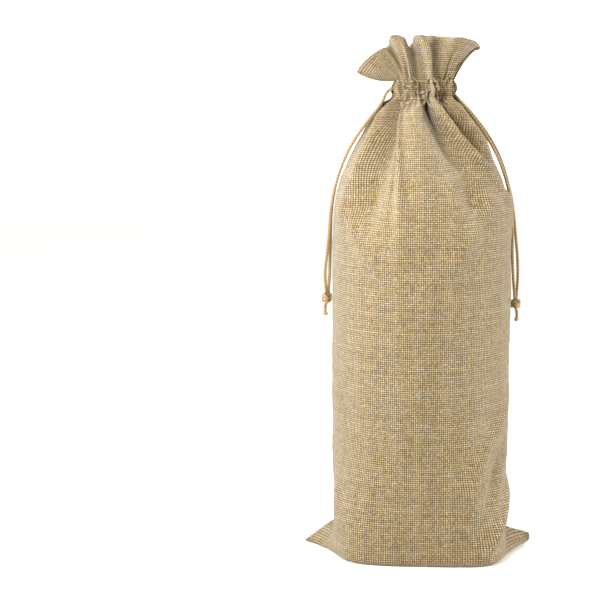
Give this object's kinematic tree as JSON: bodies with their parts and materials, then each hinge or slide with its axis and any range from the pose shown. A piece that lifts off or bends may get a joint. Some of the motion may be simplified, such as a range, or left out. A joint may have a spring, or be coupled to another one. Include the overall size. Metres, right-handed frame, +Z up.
{
  "type": "wine gift bag",
  "caption": "Tall drawstring bag of open-weave cloth for one wine bottle, standing filled out and drawn shut, with a frilled top and two knotted cords.",
  "frame": {"origin": "on the floor, under the middle of the bag's footprint, cords left out", "axes": "+Z up along the bag, +X to the bag's right drawstring, -Y towards the front"},
  "size_m": [0.133, 0.1018, 0.297],
  "materials": {
    "burlap": "matte",
    "stitching_thread": "matte",
    "drawstring_cord": "satin"
  },
  "bodies": {
    "bag": {"front_panel": "burlap", "back_panel": "burlap", "left_side_seam": "burlap", "right_side_seam": "burlap", "bottom_seam": "burlap", "front_upper_stitching": "stitching_thread", "front_lower_stitching": "stitching_thread", "back_upper_stitching": "stitching_thread", "back_lower_stitching": "stitching_thread", "left_drawstring_channel_loop": "drawstring_cord", "right_drawstring_channel_loop": "drawstring_cord"},
    "left_drawstring_strands": {"left_drawstring_front_strand": "drawstring_cord", "left_drawstring_back_strand": "drawstring_cord"},
    "left_drawstring_knotted_end": {"left_drawstring_knot": "drawstring_cord", "left_drawstring_front_end": "drawstring_cord", "left_drawstring_back_end": "drawstring_cord"},
    "right_drawstring_strands": {"right_drawstring_front_strand": "drawstring_cord", "right_drawstring_back_strand": "drawstring_cord"},
    "right_drawstring_knotted_end": {"right_drawstring_knot": "drawstring_cord", "right_drawstring_front_end": "drawstring_cord", "right_drawstring_back_end": "drawstring_cord"}
  },
  "joints": [
    {"name": "left_drawstring_swing", "type": "hinge", "parent": "bag", "child": "left_drawstring_strands", "pos_m": [-0.018, 0, 0.2669], "axis": [0, 1, 0], "range_deg": [0, 100]},
    {"name": "left_drawstring_slide", "type": "slide", "parent": "left_drawstring_strands", "child": "left_drawstring_knotted_end", "axis": [0, 0, 1], "range_m": [0, 0.095], "deforming": ["left_drawstring_front_strand", "left_drawstring_back_strand"]},
    {"name": "right_drawstring_swing", "type": "hinge", "parent": "bag", "child": "right_drawstring_strands", "pos_m": [0.018, 0, 0.2641], "axis": [0, -1, 0], "range_deg": [0, 100]},
    {"name": "right_drawstring_slide", "type": "slide", "parent": "right_drawstring_strands", "child": "right_drawstring_knotted_end", "axis": [0, 0, 1], "range_m": [0, 0.095], "deforming": ["right_drawstring_front_strand", "right_drawstring_back_strand"]}
  ]
}
